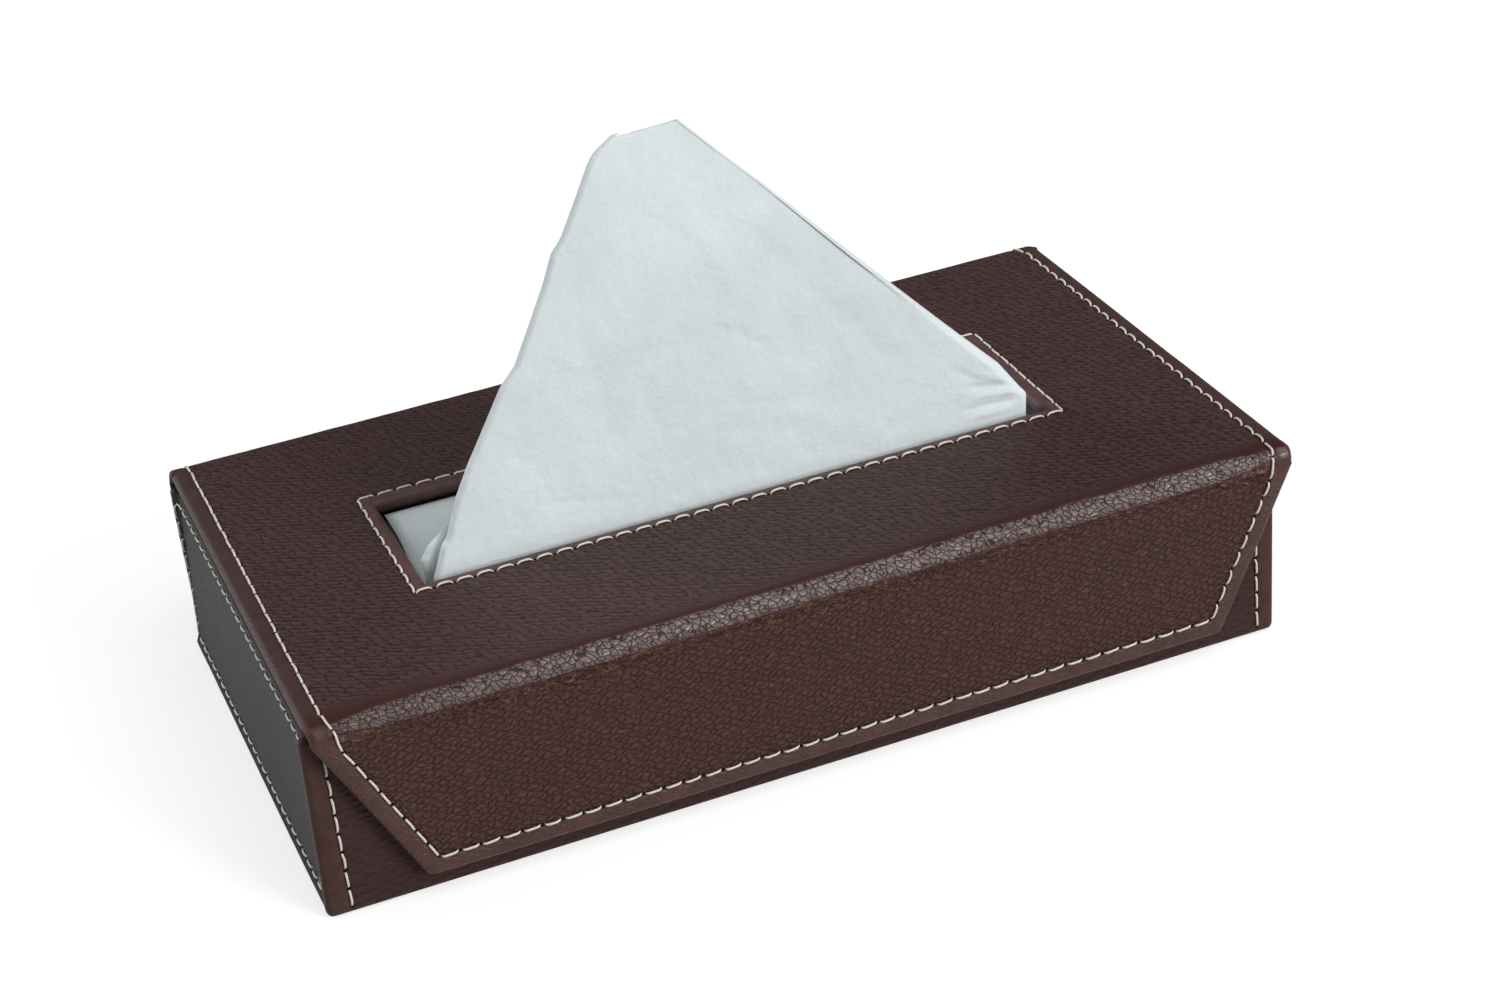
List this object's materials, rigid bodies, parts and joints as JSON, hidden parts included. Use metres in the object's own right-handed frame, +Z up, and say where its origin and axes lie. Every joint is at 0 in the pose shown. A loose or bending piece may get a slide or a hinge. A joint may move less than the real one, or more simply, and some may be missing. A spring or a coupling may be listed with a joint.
{
  "type": "tissue box cover",
  "caption": "Low rectangular leatherette tissue box cover with a hinged slotted lid, a hanging trapezoid front flap and cream topstitching, holding folded tissues.",
  "frame": {"origin": "middle of the tray's underside, on the surface it stands on", "axes": "+X along the long side, -Y towards the front wall and flap, +Z up out of the lid"},
  "size_m": [0.2615, 0.1505, 0.1525],
  "materials": {
    "leatherette": "satin",
    "end_leatherette": "satin",
    "thread": "matte",
    "board": "matte",
    "lining": "matte",
    "magnet": "satin",
    "tissue_paper": "matte"
  },
  "bodies": {
    "tray": {"tray_wrap": "leatherette", "base_board": "board", "front_board": "board", "back_board": "board", "left_end_cover": "end_leatherette", "left_end_board": "board", "right_end_cover": "end_leatherette", "right_end_board": "board", "base_lining": "lining", "front_lining": "lining", "back_lining": "lining", "left_end_lining": "lining", "right_end_lining": "lining", "wall_magnets": "magnet", "front_stitching": "thread", "back_stitching": "thread", "left_end_stitching": "thread", "right_end_stitching": "thread", "tissue_stack": "tissue_paper"},
    "lid": {"lid_cover": "leatherette", "lid_board": "board", "lid_lining": "lining", "slot_binding": "leatherette", "slot_stitching": "thread", "lid_stitching": "thread", "back_hinge_strip": "leatherette", "front_fold_strip": "leatherette"},
    "flap": {"flap_cover": "leatherette", "flap_board": "board", "flap_lining": "lining", "flap_magnets": "magnet", "flap_stitching": "thread"},
    "tissue": {"pulled_tissue": "tissue_paper"}
  },
  "joints": [
    {"name": "lid_hinge", "type": "hinge", "parent": "tray", "child": "lid", "pos_m": [0.003, 0.0705, 0.053], "axis": [-1, 0, 0], "range_deg": [0, 110]},
    {"name": "flap_hinge", "type": "hinge", "parent": "lid", "child": "flap", "pos_m": [0.003, -0.074, 0.052], "axis": [-1, 0, 0], "range_deg": [0, 120]},
    {"name": "tissue_pull", "type": "slide", "parent": "lid", "child": "tissue", "axis": [0, 0, 1], "range_m": [0, 0.0126]}
  ]
}
